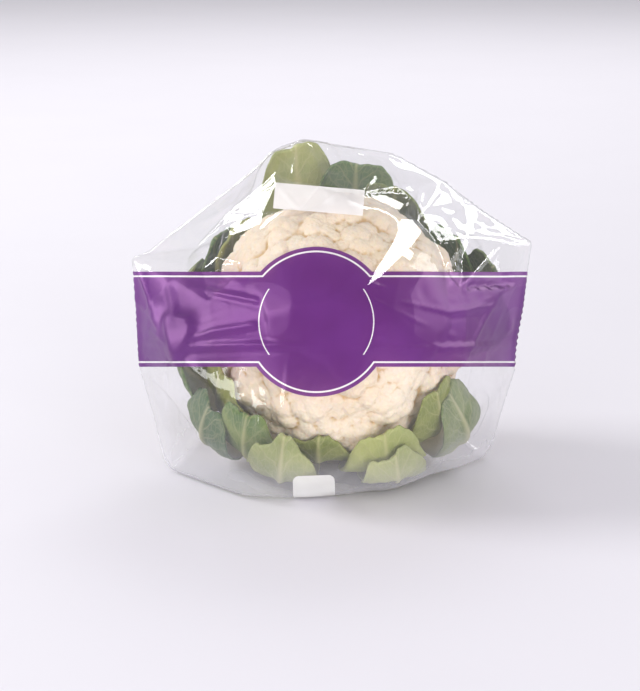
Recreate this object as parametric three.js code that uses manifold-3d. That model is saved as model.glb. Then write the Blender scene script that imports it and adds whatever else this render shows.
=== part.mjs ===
// A head of cauliflower in a clear film bag.
// Millimetres, +Z up. The front of the bag faces -Y. The head lies tilted, with its curd towards the front.
// The origin is the bottom centre of the bag's bounding box.
import * as THREE from 'three';
import { ConvexGeometry } from 'three/addons/geometries/ConvexGeometry.js';
import { mergeVertices } from 'three/addons/utils/BufferGeometryUtils.js';
import Module from 'manifold-3d';

const { degToRad, euclideanModulo, lerp, smoothstep } = THREE.MathUtils;
const wasm = await Module();
wasm.setup();

// Curd
const CURD_DIAMETER = 150; // over the florets, at the widest ring
const CURD_DOME = 76; // widest ring to the top of the dome
const CURD_UNDERSIDE = 36; // widest ring to the stalk
const FLORET_COUNT = 92;
const FLORET_COVER = 1.3; // share of the half sphere with florets, over 1 to reach below the widest ring
const FLORET_RADIUS = 20;
const FLORET_RISE = 4.2; // how far a floret stands out of the core
const FLORET_SCATTER = 0.7; // radians, how far a floret may stray along its spiral

// Stalk
const STALK_DIAMETER = 46;
const STALK_LENGTH = 42;
const STALK_WAIST = 0.9; // share of the diameter that is left under the curd
const STALK_CUT = 5; // height of the worn edge at the knife cut

// How the head lies
const HEAD_TILT = 43; // degrees, the head's axis above the horizontal
const HEAD_CENTRE = new THREE.Vector3(3, -2, 82); // centre of the curd's widest ring, above the film
const HEAD_STRETCH = 1.07; // how much taller than wide the head is, seen along its axis

// Leaves
const BLADE = 1.6; // thickness of a leaf's blade
const ROOT_WIDTH = 24;
const ROOT_STANDOFF = 4.5; // stalk to the middle of a leaf's root
const BELLY = 5; // how far the spine swells past its whorl's radius
const BELLY_DROP = 30; // how far below the widest ring it does so
const TIP_ROUNDING = 0.1; // share of the length that the blade loses at its edges
const TIP_RAGGED = 0.02; // share of the length by which the tip is torn
const TIP_TAPER = 0.3; // share of its width that the blade loses towards the tip
const EDGE_WAVE = 2.6;
const EDGE_CURL = 1.5; // how far the edges turn in
const RIB_HEIGHT = { root: 6.5, tip: 1.2 };
const RIB_WIDTH = { root: 11, tip: 3.5 };
const NEIGHBOUR_SHARE = 0.47; // share of the angle to the next leaf of its whorl that a half blade may fill
const FLOOR_SOFTNESS = 5; // how gently a leaf bends to lie along the floor

// Bag
const FILM = 0.9; // wall of the bag
const MOUTH = { width: 96, height: 2.4, level: 104, back: 90, depth: 60 }; // slit of the folded open end

const GAP = 0.4; // clearance between neighbouring pieces

// Fineness of the surfaces
const CURD_DETAIL = 15;
const STALK_SIDES = 20;
const LEAF_ROWS = 11;
const LEAF_COLUMNS = 8;

// Whorls of leaves, from the curd outwards: belly radius, height of the root and floor clearance
const WHORLS = {
  inner: { radius: 84, root: -44, floor: 14.5 },
  middle: { radius: 94, root: -55, floor: 9.6 },
  outer: { radius: 104, root: -66, floor: 5.1 },
};

// Leaves as trimmed at harvest. The angle runs round the head's axis from the right, seen from the front.
// reach is the height of the cut tip above the widest ring, and flare is how far that tip leans out.
const LEAVES = [
  { whorl: 'inner', angle: 64, reach: 35, flare: -8, width: 84 },
  { whorl: 'inner', angle: 139, reach: 17, flare: -5, width: 70 },
  { whorl: 'inner', angle: 210, reach: 25, flare: -5, width: 72 },
  { whorl: 'inner', angle: 262, reach: 16, flare: -6, width: 84 },
  { whorl: 'inner', angle: 317, reach: 26, flare: -6, width: 76 },
  { whorl: 'middle', angle: 36, reach: 7, flare: -7, width: 78 },
  { whorl: 'middle', angle: 83, reach: 13, flare: 4, width: 90 },
  { whorl: 'middle', angle: 145, reach: 9, flare: -8, width: 84 },
  { whorl: 'middle', angle: 190, reach: 24, flare: 5, width: 80 },
  { whorl: 'middle', angle: 233, reach: 30, flare: -9, width: 96 },
  { whorl: 'middle', angle: 289, reach: 24, flare: -11, width: 90 },
  { whorl: 'outer', angle: 20, reach: 6, flare: -7, width: 90 },
  { whorl: 'outer', angle: 103, reach: 19, flare: 4, width: 80 },
  { whorl: 'outer', angle: 160, reach: 0, flare: -12, width: 76 },
  { whorl: 'outer', angle: 215, reach: 8, flare: -13, width: 96 },
  { whorl: 'outer', angle: 250, reach: 30, flare: -14, width: 100 },
  { whorl: 'outer', angle: 291, reach: 12, flare: -13, width: 96 },
  { whorl: 'outer', angle: 325, reach: 9, flare: -23, width: 88 },
];

// Corners that pull the film away from the head: the side folds, the top ridge and the outline of the foot
const FOLDS = [
  [-114.5, 6, 121],
  [-112.5, 2, 58],
  [-95, -20, 0],
  [116, 14, 129],
  [110, 14, 52],
  [100, 12, 25],
  [91, 6, 0],
  [-36, 46, 176],
  [-18, 46, 183],
  [37, 54, 173],
  [67, 46, 158],
  [-51, -63, 0],
  [-18, -66, 0],
  [32, -51, 0],
  [-80, 50, 0],
  [-30, 74, 0],
  [40, 76, 0],
  [78, 56, 0],
];

const GOLDEN_ANGLE = Math.PI * (3 - Math.sqrt(5));
const stalkRadius = STALK_DIAMETER / 2;
const tilt = degToRad(HEAD_TILT);
const floorNormal = new THREE.Vector3(0, Math.cos(tilt), Math.sin(tilt)); // up, in the head's frame

// A repeatable number from 0 to 1 for each seed, and one between two limits
function chance(seed) {
  const value = Math.sin(seed * 12.9898) * 43758.5453;
  return value - Math.floor(value);
}

function vary(low, high, seed) {
  return lerp(low, high, chance(seed));
}

// Solids from geometries, and back
function toSolid(geometry) {
  const bare = new THREE.BufferGeometry().setAttribute('position', geometry.getAttribute('position'));
  bare.setIndex(geometry.index);
  const merged = mergeVertices(bare, 1e-3);
  const vertProperties = Float32Array.from(merged.attributes.position.array);
  const triVerts = Uint32Array.from(merged.index.array);
  return new wasm.Manifold(new wasm.Mesh({ numProp: 3, vertProperties, triVerts }));
}

function toGeometry(solid) {
  const mesh = solid.getMesh();
  const geometry = new THREE.BufferGeometry();
  geometry.setAttribute('position', new THREE.BufferAttribute(mesh.vertProperties, 3));
  geometry.setIndex(new THREE.BufferAttribute(mesh.triVerts, 1));
  geometry.computeVertexNormals();
  return geometry;
}

function largestBody(solid) {
  return solid.decompose().reduce((best, body) => (body.volume() > best.volume() ? body : best));
}

// Curd: a low dome with a floret raised at each point of a golden-angle spiral
function coreRadius(direction) {
  const wide = CURD_DIAMETER / 2 - FLORET_RISE;
  const tall = direction.z > 0 ? CURD_DOME - FLORET_RISE : CURD_UNDERSIDE;
  return 1 / Math.hypot(Math.hypot(direction.x, direction.y) / wide, direction.z / tall);
}

const florets = Array.from({ length: FLORET_COUNT }, (_, i) => {
  const up = 1 - ((i + 0.5) / FLORET_COUNT) * FLORET_COVER;
  const turn = i * GOLDEN_ANGLE + (chance(i) - 0.5) * FLORET_SCATTER;
  const out = Math.sqrt(1 - up * up);
  const direction = new THREE.Vector3(out * Math.cos(turn), out * Math.sin(turn), up);
  const rise = FLORET_RISE * vary(0.55, 1.25, i + 0.5);
  const radius = FLORET_RADIUS * vary(0.85, 1.15, i + 0.25);
  return { centre: direction.multiplyScalar(coreRadius(direction) + rise - radius), radius };
});

function curdRadius(direction) {
  let reach = coreRadius(direction);
  for (const { centre, radius } of florets) {
    const along = centre.dot(direction);
    const missSquared = centre.lengthSq() - along * along;
    if (along > 0 && missSquared < radius * radius) {
      reach = Math.max(reach, along + Math.sqrt(radius * radius - missSquared));
    }
  }
  return reach;
}

function curdGeometry(clearance = 0) {
  const geometry = new THREE.IcosahedronGeometry(1, CURD_DETAIL);
  const position = geometry.getAttribute('position');
  const direction = new THREE.Vector3();
  for (let i = 0; i < position.count; i += 1) {
    direction.fromBufferAttribute(position, i).normalize();
    const point = direction.clone().multiplyScalar(curdRadius(direction) + clearance);
    position.setXYZ(i, point.x, point.y * HEAD_STRETCH, point.z);
  }
  return geometry;
}

// Stalk: turned about the head's axis, with a waist under the curd and a knife-cut end
function stalkGeometry(clearance = 0) {
  const top = -CURD_UNDERSIDE - GAP + clearance;
  const end = -CURD_UNDERSIDE - STALK_LENGTH - clearance;
  const shoulder = -CURD_UNDERSIDE - STALK_LENGTH * 0.4;
  const outline = [
    new THREE.Vector2(0, end),
    new THREE.Vector2(stalkRadius - STALK_CUT / 3 + clearance, end),
    new THREE.Vector2(stalkRadius + clearance, end + STALK_CUT),
    new THREE.Vector2(stalkRadius + clearance, shoulder),
    new THREE.Vector2(stalkRadius * STALK_WAIST + clearance, top),
    new THREE.Vector2(0, top),
  ];
  return new THREE.LatheGeometry(outline, STALK_SIDES).rotateX(Math.PI / 2);
}

// Leaves: a cupped blade on a curved rib, wider than its root, with a rounded, waved and ragged end
function neighbourLimit(leaf) {
  const others = LEAVES.filter((other) => other !== leaf && other.whorl === leaf.whorl);
  const gaps = others.map((other) => Math.abs(euclideanModulo(other.angle - leaf.angle + 180, 360) - 180));
  return degToRad(Math.min(...gaps) * NEIGHBOUR_SHARE);
}

function aboveFloor(point, clearance) {
  const height = HEAD_CENTRE.z + point.dot(floorNormal);
  const over = (height - clearance) / FLOOR_SOFTNESS;
  const farAbove = over > 20;
  const lifted = farAbove ? height : clearance + FLOOR_SOFTNESS * Math.log1p(Math.exp(over));
  return point.addScaledVector(floorNormal, lifted - height);
}

function leafShape(leaf) {
  const { radius, root, floor } = WHORLS[leaf.whorl];
  const seed = leaf.angle;
  const limit = neighbourLimit(leaf);
  const spine = new THREE.CubicBezierCurve(
    new THREE.Vector2(stalkRadius + ROOT_STANDOFF, root),
    new THREE.Vector2(radius * 0.8, root - 2),
    new THREE.Vector2(radius + BELLY, -BELLY_DROP),
    new THREE.Vector2(radius + leaf.flare, leaf.reach),
  );
  const halfWidth = (s) => lerp(ROOT_WIDTH, leaf.width, smoothstep(s, 0.1, 0.75)) / 2;

  // s runs from root to tip and t from edge to edge
  function point(s, t) {
    const shortened = TIP_ROUNDING * t * t + TIP_RAGGED * Math.sin(6 * t + 6 * chance(seed));
    const along = s * (1 - shortened * s);
    const { x: spineRadius, y: height } = spine.getPoint(along);
    const taper = 1 - TIP_TAPER * smoothstep(s, 0.62, 1.05);
    const spread = (halfWidth(along) * taper) / Math.max(spineRadius, stalkRadius);
    const turn = degToRad(leaf.angle) + t * limit * Math.tanh(spread / limit);
    const wave = EDGE_WAVE * Math.sin(9 * s + 2 * t + 6 * chance(seed + 0.5));
    const out = spineRadius + (wave - EDGE_CURL) * t * t * s;
    const place = new THREE.Vector3(out * Math.cos(turn), out * Math.sin(turn) * HEAD_STRETCH, height);
    return aboveFloor(place, floor);
  }

  function outward(s, t) {
    const step = 0.02;
    const alongRib = point(s + step, t).sub(point(s - step, t));
    const acrossRib = point(s, t + step).sub(point(s, t - step));
    return acrossRib.cross(alongRib).normalize();
  }

  // The rib stands out of the blade's outer face and thins towards the tip
  function rib(s, t) {
    const height = lerp(RIB_HEIGHT.root, RIB_HEIGHT.tip, Math.sqrt(s));
    const width = lerp(RIB_WIDTH.root, RIB_WIDTH.tip, Math.sqrt(s));
    return height * Math.exp(-(((t * halfWidth(s)) / width) ** 2));
  }

  return { point, outward, rib };
}

function leafGeometry(leaf, clearance = 0) {
  const { point, outward, rib } = leafShape(leaf);
  const across = LEAF_COLUMNS + 1;
  const outer = [];
  const inner = [];
  for (let row = 0; row <= LEAF_ROWS; row += 1) {
    for (let column = 0; column <= LEAF_COLUMNS; column += 1) {
      const s = row / LEAF_ROWS;
      const t = (2 * column) / LEAF_COLUMNS - 1;
      const normal = outward(s, t);
      outer.push(point(s, t).addScaledVector(normal, BLADE / 2 + rib(s, t) + clearance));
      inner.push(point(s, t).addScaledVector(normal, -BLADE / 2 - clearance));
    }
  }
  const faces = [];
  const quad = (a, b, c, d) => faces.push(a, b, c, a, c, d);
  const shift = outer.length;
  for (let row = 0; row < LEAF_ROWS; row += 1) {
    for (let column = 0; column < LEAF_COLUMNS; column += 1) {
      const a = row * across + column;
      const [b, c, d] = [a + 1, a + across + 1, a + across];
      quad(a, b, c, d);
      quad(shift + a, shift + d, shift + c, shift + b);
    }
  }
  for (let row = 0; row < LEAF_ROWS; row += 1) {
    const [left, nextLeft] = [row * across, (row + 1) * across];
    const [right, nextRight] = [left + LEAF_COLUMNS, nextLeft + LEAF_COLUMNS];
    quad(left, nextLeft, shift + nextLeft, shift + left);
    quad(right, shift + right, shift + nextRight, nextRight);
  }
  for (let column = 0; column < LEAF_COLUMNS; column += 1) {
    const tip = LEAF_ROWS * across + column;
    quad(column, shift + column, shift + column + 1, column + 1);
    quad(tip, tip + 1, shift + tip + 1, shift + tip);
  }
  const geometry = new THREE.BufferGeometry().setFromPoints([...outer, ...inner]);
  return geometry.setIndex(faces);
}

// Bag: film stretched over the head, its side folds, top ridge and foot, with the folded mouth at the back
function filmGeometry(plant) {
  const heart = new THREE.Vector3(0, 0, HEAD_CENTRE.z);
  const points = FOLDS.map((corner) => new THREE.Vector3(...corner));
  plant.updateMatrixWorld(true);
  for (const piece of plant.children) {
    const position = piece.geometry.getAttribute('position');
    for (let i = 0; i < position.count; i += 1) {
      const point = new THREE.Vector3().fromBufferAttribute(position, i).applyMatrix4(piece.matrixWorld);
      const push = point.clone().sub(heart).setLength(2 * GAP);
      points.push(point.add(push));
    }
  }
  const inside = new ConvexGeometry(points);
  const growth = 1 + FILM / HEAD_CENTRE.z;
  const outside = inside.clone().translate(-heart.x, -heart.y, -heart.z);
  outside.scale(growth, growth, growth).translate(heart.x, heart.y, heart.z);
  const mouth = new THREE.BoxGeometry(MOUTH.width, MOUTH.depth, MOUTH.height);
  mouth.translate(0, MOUTH.back, MOUTH.level);
  return toGeometry(largestBody(toSolid(outside).subtract(toSolid(inside)).subtract(toSolid(mouth))));
}

// Assembly
const materials = {
  curd: new THREE.MeshStandardMaterial({ color: '#efe2cc', roughness: 0.75, metalness: 0 }),
  stalk: new THREE.MeshStandardMaterial({ color: '#d9dcae', roughness: 0.6, metalness: 0 }),
  inner: new THREE.MeshStandardMaterial({ color: '#a9b56a', roughness: 0.55, metalness: 0 }),
  middle: new THREE.MeshStandardMaterial({ color: '#6f8f5a', roughness: 0.55, metalness: 0 }),
  outer: new THREE.MeshStandardMaterial({ color: '#7f9a6c', roughness: 0.55, metalness: 0 }),
  film: new THREE.MeshStandardMaterial({ color: '#f4f2fa', roughness: 0.1, transparent: true, opacity: 0.25 }),
};

const plant = new THREE.Group();
plant.rotation.x = Math.PI / 2 - tilt;
plant.position.copy(HEAD_CENTRE);

function addPiece(name, geometry, material) {
  const mesh = new THREE.Mesh(geometry, material);
  mesh.name = name;
  plant.add(mesh);
}

// Each piece gives way to those grown before it, from the curd outwards
const grown = [toSolid(curdGeometry(GAP)), toSolid(stalkGeometry(GAP))];
addPiece('curd', curdGeometry(), materials.curd);
addPiece('stalk', stalkGeometry(), materials.stalk);
LEAVES.forEach((leaf, i) => {
  const clear = grown.reduce((solid, other) => solid.subtract(other), toSolid(leafGeometry(leaf)));
  const name = `leaf_${leaf.whorl}_${String(i + 1).padStart(2, '0')}`;
  addPiece(name, toGeometry(largestBody(clear)), materials[leaf.whorl]);
  grown.push(toSolid(leafGeometry(leaf, GAP)));
});

const bag = new THREE.Mesh(filmGeometry(plant), materials.film);
bag.name = 'bag';

const cauliflower = new THREE.Group();
cauliflower.add(plant, bag);
const box = new THREE.Box3().setFromObject(bag);
const middle = box.getCenter(new THREE.Vector3());
cauliflower.position.set(-middle.x, -middle.y, -box.min.z);

const part = new THREE.Group();
part.add(cauliflower);
export default part;
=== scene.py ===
"""A head of cauliflower in a clear film bag: finished surfaces, stage, light and camera.

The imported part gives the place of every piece. Shapes are worked out in millimetres, in the part's frame,
with +Z up and the front towards -Y, and become metres when their mesh is made.
"""

import math

import bmesh
import bpy
import numpy as np
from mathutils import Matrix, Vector, noise
from mathutils.geometry import delaunay_2d_cdt


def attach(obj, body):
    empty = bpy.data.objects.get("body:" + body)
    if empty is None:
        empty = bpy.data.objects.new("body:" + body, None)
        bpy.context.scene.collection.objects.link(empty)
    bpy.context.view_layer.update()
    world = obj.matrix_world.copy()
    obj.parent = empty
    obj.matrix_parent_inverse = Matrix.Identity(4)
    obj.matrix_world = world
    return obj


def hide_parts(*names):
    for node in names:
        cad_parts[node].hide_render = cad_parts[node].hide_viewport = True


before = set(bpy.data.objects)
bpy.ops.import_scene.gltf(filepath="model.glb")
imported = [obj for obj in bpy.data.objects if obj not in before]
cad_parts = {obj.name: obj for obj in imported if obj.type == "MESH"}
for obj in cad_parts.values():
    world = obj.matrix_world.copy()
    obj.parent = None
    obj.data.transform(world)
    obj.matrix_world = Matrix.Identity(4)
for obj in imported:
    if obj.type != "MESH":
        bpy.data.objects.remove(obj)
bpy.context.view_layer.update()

MM = 0.001

# Curd
CURD_DIAMETER = 150
CURD_DOME = 76
CURD_UNDERSIDE = 36
FLORET_COUNT = 92
FLORET_COVER = 1.3
FLORET_RADIUS = 20
FLORET_RISE = 4.2
FLORET_SCATTER = 0.7
RISE_SHARES = (0.55, 1.25)  # how much florets differ in rise and in radius
RADIUS_SHARES = (0.85, 1.15)
CURDLET_SIZE = 9.5  # the lumps that make up a floret
CURDLET_RELIEF = 2.5
CURDLET_LEVEL = 0.7  # how much of a lump lies under the floret's smooth surface
BUD_SIZE = 3.2
BUD_RELIEF = 0.6
BUD_LEVEL = 0.6
BUD_SHIFT = 40  # keeps the buds out of step with the lumps
LUMP_RADIUS = 0.85  # share of a lump's size
LUMP_STEEPNESS = 2.2
LUMP_ROUNDNESS = 0.55
FLOWER_EDGE = (-0.55, -0.2)  # how far down the sides the flowers reach, -1 being straight down
GROOVE_DEPTH = 1.5  # depth at which a groove is fully tan and shaded: partly the curd's own tan, partly painted shade
GROOVE_ROUNDS = 14
CURD_SUBDIVISIONS = 7

# Stalk
STALK_DIAMETER = 46
STALK_LENGTH = 42
STALK_WAIST = 0.9
STALK_CUT = 5
STALK_SHOULDER = 0.4  # share of the length
STALK_PINCH = (0.985, 12)  # share of the radius, and height over the cut
STALK_WAVES = ((5, 0.012, 0), (11, 0.008, 1))  # count round the stalk, height as a share, and turn
STALK_SIDES = 96

# How the head lies
HEAD_TILT = 43
HEAD_STRETCH = np.array([1, 1.07, 1])
GAP = 0.4
FILM = 0.9  # wall of the solid bag, on which the head lies

# Leaves
BLADE = 1.3
ROOT_WIDTH = 24
ROOT_STANDOFF = 4.5
ROOT_DIP = 2
BELLY = 5
BELLY_DROP = 30
SPINE_BEND = 0.8
WIDENING = (0.1, 0.75)  # shares of the length between which the blade widens
TIP_ROUNDING = 0.1
TIP_CORNERS = 0.1
TIP_RAGGED = 0.02
RAGGED_WAVES = 6
TIP_NOTCHES = 0.018
NOTCH_FOLDS = (5, 0)  # how often the blade turns, along and across it
TIP_TAPER = 0.3
TAPERING = (0.62, 1.05)
EDGE_WAVE = 2.6
EDGE_FOLDS = (9, 2)
EDGE_CURL = 1.5
EDGE_STRAY = 0.12  # share of the width by which the edges stray
STRAY_FOLDS = (4, 3)
EDGE_THINNING = 0.6
RIB_HEIGHT = (6.5, 1.2)
RIB_WIDTH = (11, 3.5)
NEIGHBOUR_SHARE = 0.47
FLOOR_SOFTNESS = 5
RUFFLE = 2.0  # height of the fine waves along a leaf's edge
RUFFLE_FOLDS = (8, 2)
CRUMPLE = 2.4  # how far the blade strays in and out
CRUMPLE_FOLDS = (3, 1.6)
TIP_CURL = 5.5  # how far the tip leans in to the curd, on the leaves that the head lies on
CURLING = (0.5, 1)
UNDER_HEAD = (0.2, -0.4)  # sines of the angles between which a leaf comes to be one of those
PUCKER = 0.5  # how far the blade swells between its side veins
PUCKER_ALONG = (0.15, 0.4)
PUCKER_ACROSS = (0.05, 0.4)
SIDE_VEINS = 8
VEIN_SLANT = 0.34
LEAF_ROWS = 60
LEAF_COLUMNS = 40
LEAF_STEP = 0.02  # for finding which way the blade faces
CURD_CLEARANCE = 1.6

WHORLS = {
    "inner": {"radius": 84, "root": -44, "floor": 14.5},
    "middle": {"radius": 94, "root": -55, "floor": 9.6},
    "outer": {"radius": 104, "root": -66, "floor": 5.1},
}

# Whorl, angle round the head's axis, reach of the tip, flare of the tip, width, and paleness from 0 to 1
LEAVES = [
    ("inner", 64, 35, -8, 84, 0.0),
    ("inner", 139, 17, -5, 70, 0.6),
    ("inner", 210, 25, -5, 72, 0.75),
    ("inner", 262, 16, -6, 84, 0.35),
    ("inner", 317, 26, -6, 76, 0.4),
    ("middle", 36, 7, -7, 78, 0.05),
    ("middle", 83, 13, 4, 90, 0.1),
    ("middle", 145, 9, -8, 84, 0.0),
    ("middle", 190, 24, 5, 80, 0.15),
    ("middle", 233, 30, -9, 96, 0.3),
    ("middle", 289, 24, -11, 90, 0.9),
    ("outer", 20, 6, -7, 90, 0.15),
    ("outer", 103, 19, 4, 80, 0.75),
    ("outer", 160, 0, -12, 76, 0.5),
    ("outer", 215, 8, -13, 96, 0.0),
    ("outer", 250, 30, -14, 100, 0.75),
    ("outer", 291, 12, -13, 96, 0.85),
    ("outer", 325, 9, -23, 88, 0.35),
]

# Film
FILM_SUBDIVISIONS = 7
FILM_INSET = 0.3  # how far it lies inside the solid bag's outside
FILM_CLEARANCE = 0.6
FILM_FLOOR = 0.3
HEAD_SPREAD = 4  # cells of the grid by which the head counts as wider
HEAD_ROUNDS = 14
GRID_ROWS = 120
ON_HEAD = (8, 1)  # gaps to the head between which the film comes to be rounded
ON_HEAD_ROUNDS = 40
FOOT = (10, 4)  # heights between which the film's edge at the floor comes to be evened out
FOOT_ROUNDS = 6
GATHERED = (38, 6)  # heights between which the film comes to lie in layers
DEEPEST_CREASE = 13
PRINT_LEVEL = 0.9  # how far the print is evened out, as the front view shows it
PRINT_END = 14  # depth at which the print ends, behind the side folds
PRINT_BLEND = 20  # how far from there the film counts as wholly front or back

# How the film settles
FILM_STEPS = 16
FILM_ROUNDS = 8
FILM_SLACK = (0.0003, 0.004)  # where it lies on the head, and where it stands off
FILM_PULL = 0.012
FILM_LIFT = 0.2  # how far it may swell
FILM_DRIFT = 0.9  # share of its speed that it keeps
FILM_GIVE = 1.9
EDGE_PULL = (1.0, 0.8)  # against stretch and squeeze, along the edges and across them
ACROSS_PULL = (0.1, 0.35)
HELD_HEIGHT = 1.5
RIDGE_REACH = 2.6
STAND_OFF = 25
SAG = 0.6
RIPPLE = 0.8
RIPPLE_SIZES = (24, 9)
SMALL_RIPPLE = 0.4

# Folds that hold the bag's outline, in millimetres, for a head centred on FOLD_HEAD
FOLD_HEAD = (3, -2, 82)
RIDGES = [
    [(-114.5, 6, 121), (-112.5, 2, 58), (-95, -20, 0)],
    [(116, 14, 129), (110, 14, 52), (100, 12, 25), (91, 6, 0)],
    [(-36, 46, 176), (-18, 46, 183), (37, 54, 173), (67, 46, 158)],
]

# Creases of the front: pixels across and down the picture, and millimetres pressed in
CREASES = [
    [(131, 257, 0), (181, 238, 9), (222, 203, 5), (271, 166, 3)],
    [(222, 203, 5), (219, 219, 3), (207, 249, 6), (196, 268, 3)],
    [(219, 219, 3), (262, 210, 0.5), (300, 209, 0), (345, 213, 0), (383, 218, 1), (401, 219, 1),
     (432, 217, 8)],
    [(432, 217, 8), (445, 181, 0)],
    [(432, 217, 8), (468, 203, 1), (484, 208, 1)],
    [(432, 217, 8), (400, 252, 1), (371, 280, 0)],
    [(401, 219, 1), (371, 280, 0)],
    [(432, 217, 8), (441, 233, 7), (478, 231, 6), (510, 239, 2)],
    [(441, 233, 7), (452, 262, 5), (466, 288, 2)],
    [(420, 184, 0), (425, 212, 8), (432, 217, 8)],
    [(276, 181, 0.5), (320, 183, 0.5), (366, 190, 0.5)],
    [(521, 285, 2), (515, 340, 4), (505, 400, 2)],
    [(168, 385, 2), (172, 470, 1)],
]
# Places round the creases where the film is not pressed in
FLAT_PLACES = [
    (115, 257), (115, 490), (240, 515), (400, 510), (550, 400), (550, 235), (470, 190), (446, 168),
    (395, 143), (301, 126), (260, 148), (207, 300), (250, 262), (316, 245), (372, 300), (468, 310),
    (465, 400), (330, 440), (220, 400),
]
# Wrinkles that stand out: half width in pixels, then pixels across and down the picture, and millimetres
WRINKLES = [
    (3.5, [(372, 284, 1.4), (412, 294, 0.9), (462, 298, 0)]),
    (3.5, [(374, 300, 1.2), (415, 320, 0.9), (460, 338, 0)]),
    (3.5, [(372, 322, 0.9), (405, 345, 0.6), (440, 362, 0)]),
    (3.5, [(256, 300, 0.9), (215, 292, 0.6), (180, 283, 0)]),
    (3.5, [(252, 325, 0.9), (210, 332, 0.6), (175, 348, 0)]),
    (4, [(395, 300, 0.8), (450, 312, 1), (505, 305, 0.3)]),
    (3, [(136, 342, 0.5), (190, 347, 0.9), (262, 345, 1.3), (330, 347, 0.5), (400, 348, 0.9),
         (515, 347, 0.7)]),
    (3, [(163, 276, 0.3), (172, 310, 1.1), (181, 346, 0.4)]),
    (2.5, [(134, 300, 0.4), (150, 318, 1.3), (158, 338, 0.3)]),
    (2.5, [(140, 328, 0.3), (157, 337, 1.5), (173, 354, 0.3)]),
    (2.5, [(141, 282, 0.3), (147, 300, 1), (140, 352, 0.4)]),
    (3.5, [(378, 318, 0.3), (384, 336, 1), (401, 352, 0.4)]),
]

# Film folded flat over itself: its outline and its middle in pixels, which way it faces, and how many
# millimetres it lies off the film
FLAT_FOLD = [(401, 219), (399, 229), (393, 243), (385, 256), (377, 268), (368, 285),
             (380, 277), (392, 265), (405, 253), (416, 240), (424, 228), (427, 221)]
FLAT_FOLD_MIDDLE = (400, 243)
FLAT_FOLD_FACING = (0.47, -0.55, 0.69)
FLAT_FOLD_LIFT = 1.2

# The open end, turned over on the back and held by a strip of tape, in millimetres
FLAP = {"half": 54, "heights": (114, 80), "lift": 0.9}
TAPE = {"half": 26, "heights": (90, 68), "lift": 1.5}
LAYER_COLUMNS = 28
LAYER_ROWS = 10
LAYER_NEIGHBOURS = 6
LAYER_EVENING = 0.3

# The print, in millimetres across and up from the head's centre, as the front view shows it
BAND_MIDDLE = 4.5
BAND_HALF = 27.5
ROUNDEL_PLACE = (-12, 3)
ROUNDEL_RADIUS = 43.3
KEYLINE_INSET = 2.2
KEYLINE_WIDTH = 1.0
RING_RADIUS = 33.2
RING_WIDTH = 0.7
RING_REACH = 19  # up and down, so that only two arcs of the ring are left
CODE_PATCH = {"place": (-10.4, 73.9), "half": (26, 7.5), "turn": -5, "corner": 0.4}
FOOT_PATCH = {"place": (-13.3, -93), "half": (12.1, 7.2), "turn": 2, "corner": 3.5}

# Looks of the film, its print and the tape, as shares of the light
FILM_GLOSS = (0.08, 0.7)  # face on, and added at a glance
FILM_HAZE = (0.01, 0.22)
LAYERED_HAZE_AND_FLOOR_REFLECTION = 0.2  # added where the film is gathered in layers: partly the layers' own haze and partly a painted reflection of the bright floor
PRINT_CLEAR = 0.06  # passes straight through the ink
PRINT_GLOW = 0.3  # is scattered by the ink to its other side
TAPE_CLEAR = 0.35
LEAF_GLOW = 0.3  # is scattered through a leaf

# Crinkles too small to be in the film's mesh
FACET_SCALE = 26
FACET_BEND = 0.03
FACET_BEND_SCALE = 14
FILM_LEAN = 0.07
PRINT_LEAN = 0.16

# Colours, as hex codes
CURD_CREAM = ("ebdcc8", "e3d1b9")
# Groove colour, darker in deeper grooves: partly the curd's own tan and partly painted shade in the hollows
CURD_GROOVE_TAN_AND_SHADE = "c9a36c"
CURD_SPECKLE = "dcc294"
STALK_SKIN = ("d8dcae", "b9c48a")
STALK_FACE = ("e4d9b4", "c7b07f")
LEAF_COLORS = {
    "inner": {"blade": "cdd07c", "deep": "6c7d2e", "pale": "e6dfa4"},
    "middle": {"blade": "c4c97e", "deep": "4f7638", "pale": "dcd6a0"},
    "outer": {"blade": "c4c888", "deep": "4c6c3a", "pale": "e4dcb0"},
}
FILM_VEIL = "e6e4ec"
INK = ("4e1f6a", "572776")
INK_GLOW = "c58ad6"
WHITE_PRINT = "f6f5f6"
WHITE_GLOW = "f1ecf4"
TAPE_COLOR = "efeaf0"
FLOOR_COLORS = ("e6e3ea", "e3e0e7")
INK_TINT = (1, 0.5, 1, 1)  # what light takes on when it passes the ink or is mirrored by it
NO_TINT = (1, 1, 1, 1)

# Lamps: place and size in metres, and watts. Some light the scene, and some show only in reflections.
LIGHTING = {
    "key": ((-2.5, 0.6, 1.65), (1.2, 1.2), 52),
    "back": ((0.3, 2.3, 1.8), (1.6, 0.8), 22),
    "front_left": ((-1.3, -1.8, 0.2), (1.2, 0.7), 22),
    "front_right": ((1.1, -1.9, 0.2), (1.2, 0.7), 36),
}
REFLECTED = {
    "left": ((-1.9, -0.35, 0.75), (1.2, 0.8), 17),
    "right": ((1.7, 0.4, 0.8), (1.2, 1.0), 11),
    "glint_left": ((-0.81, 1.31, 0.92), (0.5, 0.4), 8),
    "glint_right": ((0.96, 0.84, 1.26), (0.4, 0.35), 4),
    "glint_kite": ((0.61, 0.98, 1.24), (0.35, 0.3), 4),
    "glint_strip": ((1.11, 0.24, 1.29), (0.42, 0.38), 7),
}
LAMP_AIM = (0, 0, 0.08)
WORLD_COLOR = (0.985, 0.98, 1, 1)
WORLD_LEVEL = 0.6
FLOOR_HALF = 4000

# Camera and picture
IMAGE = (640, 691)
CURD_PIXEL = (337, 327)
PIXELS_PER_MM = 1.733
ELEVATION = 15
LENS = 100
SENSOR = 36

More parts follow.
